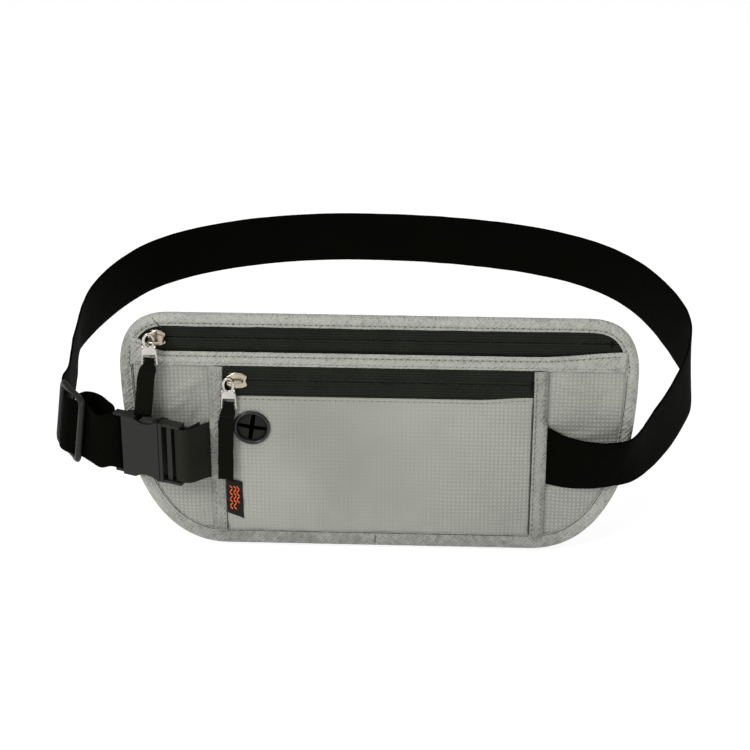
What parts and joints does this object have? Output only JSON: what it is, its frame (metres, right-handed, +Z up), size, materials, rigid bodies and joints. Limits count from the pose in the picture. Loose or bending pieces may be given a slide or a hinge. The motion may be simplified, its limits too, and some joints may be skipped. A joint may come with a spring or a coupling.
{
  "type": "money belt",
  "caption": "Flat fabric waist pouch with two zipped pockets, a cable port, an elastic webbing belt with a strap adjuster, and a side-release buckle.",
  "frame": {"origin": "middle of the waist loop, at the height of the strap's centre line", "axes": "+X to the right of someone who looks at the front of the bag, +Y from the bag towards the wearer's back, +Z up with the belt worn"},
  "size_m": [0.3525, 0.3244, 0.1288],
  "materials": {
    "shell": "light greenish-grey ripstop polyester",
    "trim": "light grey folded binding and facing tape, stitched",
    "foil": "thin metallised shielding fabric",
    "webbing": "black woven webbing, matt",
    "zip_tape": "black woven zip tape",
    "zip_coil": "black nylon coil",
    "port_rubber": "moulded black rubber",
    "label": "black woven label with a plain orange pattern",
    "buckle_plastic": "black moulded acetal, fine grain",
    "zip_metal": "bright plated zinc"
  },
  "bodies": {
    "bag": {"back_panel": "shell", "shield_lining": "foil", "main_front_panel": "shell", "edge_binding": "trim", "zip_band": "trim", "pocket_panel": "shell", "left_tape": "trim", "right_tape": "trim", "side_label": "label", "cable_port": "port_rubber", "cable_port_ring": "port_rubber", "top_zip_tape_upper": "zip_tape", "top_zip_tape_lower": "zip_tape", "top_zip_coil_upper": "zip_coil", "top_zip_coil_lower": "zip_coil", "top_zip_stop_left": "zip_coil", "top_zip_stop_right": "zip_coil", "pocket_zip_tape_upper": "zip_tape", "pocket_zip_tape_lower": "zip_tape", "pocket_zip_coil_upper": "zip_coil", "pocket_zip_coil_lower": "zip_coil", "pocket_zip_stop_left": "zip_coil", "pocket_zip_stop_right": "zip_coil", "strap_right": "webbing", "strap_short": "webbing", "buckle_male": "buckle_plastic"},
    "free_strap": {"strap_left": "webbing", "tri_glide": "buckle_plastic", "buckle_female": "buckle_plastic"},
    "prong_upper": {"buckle_prong_upper": "buckle_plastic"},
    "prong_lower": {"buckle_prong_lower": "buckle_plastic"},
    "top_slider": {"top_slider": "zip_metal"},
    "top_puller": {"top_puller": "zip_metal"},
    "top_tab": {"top_pull_tab": "webbing"},
    "pocket_slider": {"pocket_slider": "zip_metal"},
    "pocket_puller": {"pocket_puller": "zip_metal"},
    "pocket_tab": {"pocket_pull_tab": "webbing"}
  },
  "joints": [
    {"name": "belt_open", "type": "hinge", "parent": "bag", "child": "free_strap", "pos_m": [0.0247, 0.18834, 0], "axis": [0, 0, -1], "range_deg": [0, 60]},
    {"name": "prong_upper_squeeze", "type": "hinge", "parent": "bag", "child": "prong_upper", "pos_m": [-0.10838, -0.12488, 0.0171], "axis": [-0.3907, -0.9205, 0], "range_deg": [0, 8], "stiffness_Nm_per_rad": 0.5},
    {"name": "prong_lower_squeeze", "type": "hinge", "parent": "bag", "child": "prong_lower", "pos_m": [-0.10838, -0.12488, -0.0059], "axis": [0.3907, 0.9205, 0], "range_deg": [0, 8], "stiffness_Nm_per_rad": 0.5},
    {"name": "top_zip", "type": "slide", "parent": "bag", "child": "top_slider", "axis": [1, 0, 0], "range_m": [0, 0.218]},
    {"name": "pocket_zip", "type": "slide", "parent": "bag", "child": "pocket_slider", "axis": [1, 0, 0], "range_m": [0, 0.141]},
    {"name": "top_puller_swing", "type": "hinge", "parent": "top_slider", "child": "top_puller", "pos_m": [-0.1133, -0.1181, 0.0617], "axis": [0, 1, 0], "range_deg": [-40, 40]},
    {"name": "pocket_puller_swing", "type": "hinge", "parent": "pocket_slider", "child": "pocket_puller", "pos_m": [-0.0749, -0.1156, 0.0395], "axis": [0, 1, 0], "range_deg": [-40, 3]},
    {"name": "top_tab_flip", "type": "hinge", "parent": "top_puller", "child": "top_tab", "pos_m": [-0.1133, -0.1181, 0.0518], "axis": [-0.9945, 0, 0.1045], "range_deg": [0, 120]},
    {"name": "pocket_tab_flip", "type": "hinge", "parent": "pocket_puller", "child": "pocket_tab", "pos_m": [-0.0749, -0.1156, 0.0272], "axis": [-0.999, 0, 0.0436], "range_deg": [0, 120]}
  ],
  "couplings": [
    {"joint": "prong_lower_squeeze", "follows": "prong_upper_squeeze", "ratio": 1}
  ]
}
